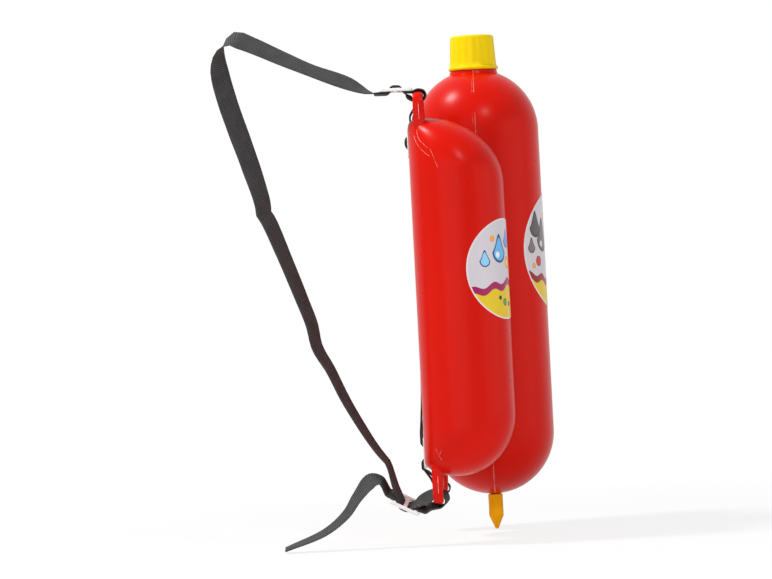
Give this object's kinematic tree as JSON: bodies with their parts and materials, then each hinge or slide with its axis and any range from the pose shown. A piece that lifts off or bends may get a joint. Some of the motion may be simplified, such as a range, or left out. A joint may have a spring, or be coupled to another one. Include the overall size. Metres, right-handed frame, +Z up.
{
  "type": "backpack water squirter",
  "caption": "Toy water tank worn on the back: red blow-moulded tanks side by side, a screw cap on top, a pointed twist nozzle below and webbing shoulder straps.",
  "frame": {"origin": "point of the wearer's back between the two side tanks, on the plane their backs share, 170 mm above the lowest point of the main tank", "axes": "+X across the back to the wearer's right strap, +Y to the wearer, +Z up along the main tank's axis"},
  "size_m": [0.245, 0.2684, 0.4314],
  "materials": {
    "red_shell": "semi-gloss blow-moulded polyethylene",
    "yellow_cap": "semi-gloss moulded plastic",
    "white_liner": "foamed liner",
    "orange_nozzle": "semi-gloss moulded plastic",
    "black_seal": "matt rubber",
    "white_pin": "moulded plastic",
    "sticker": "printed plastic film",
    "white_slider": "moulded nylon",
    "grey_webbing": "ribbed woven webbing"
  },
  "bodies": {
    "tanks": {"main_tank": "red_shell", "left_side_tank": "red_shell", "right_side_tank": "red_shell", "closing_pin": "white_pin", "front_label": "sticker", "left_label": "sticker", "right_label": "sticker", "right_upper_slider": "white_slider", "right_lower_slider": "white_slider", "left_upper_loop": "grey_webbing", "left_lower_loop": "grey_webbing", "right_strap": "grey_webbing", "right_upper_loop": "grey_webbing", "right_lower_loop": "grey_webbing", "right_strap_end": "grey_webbing"},
    "cap_seal": {"cap_liner": "white_liner"},
    "cap": {"screw_cap": "yellow_cap"},
    "seal": {"nozzle_seal": "black_seal"},
    "nozzle": {"twist_nozzle": "orange_nozzle"},
    "slack_strap": {"left_strap": "grey_webbing", "left_strap_end": "grey_webbing", "left_upper_slider": "white_slider", "left_lower_slider": "white_slider"}
  },
  "joints": [
    {"name": "cap_rise", "type": "slide", "parent": "tanks", "child": "cap_seal", "axis": [0, 0, 1], "range_m": [0, 0.006]},
    {"name": "cap_turn", "type": "hinge", "parent": "cap_seal", "child": "cap", "pos_m": [0, -0.056, 0.205], "axis": [0, 0, 1], "range_deg": [0, 540]},
    {"name": "nozzle_drop", "type": "slide", "parent": "tanks", "child": "seal", "axis": [0, 0, -1], "range_m": [0, 0.003]},
    {"name": "nozzle_turn", "type": "hinge", "parent": "seal", "child": "nozzle", "pos_m": [0, -0.056, -0.18], "axis": [0, 0, -1], "range_deg": [0, 270]},
    {"name": "strap_swing", "type": "hinge", "parent": "tanks", "child": "slack_strap", "pos_m": [-0.084, -0.0105, 0], "axis": [0, 0, 1], "range_deg": [-60, 90], "deforming": ["left_upper_loop", "left_lower_loop"]}
  ],
  "couplings": [
    {"joint": "cap_rise", "follows": "cap_turn", "m_per_rad": 0.00063662},
    {"joint": "nozzle_turn", "follows": "nozzle_drop", "rad_per_m": 1570.8}
  ]
}
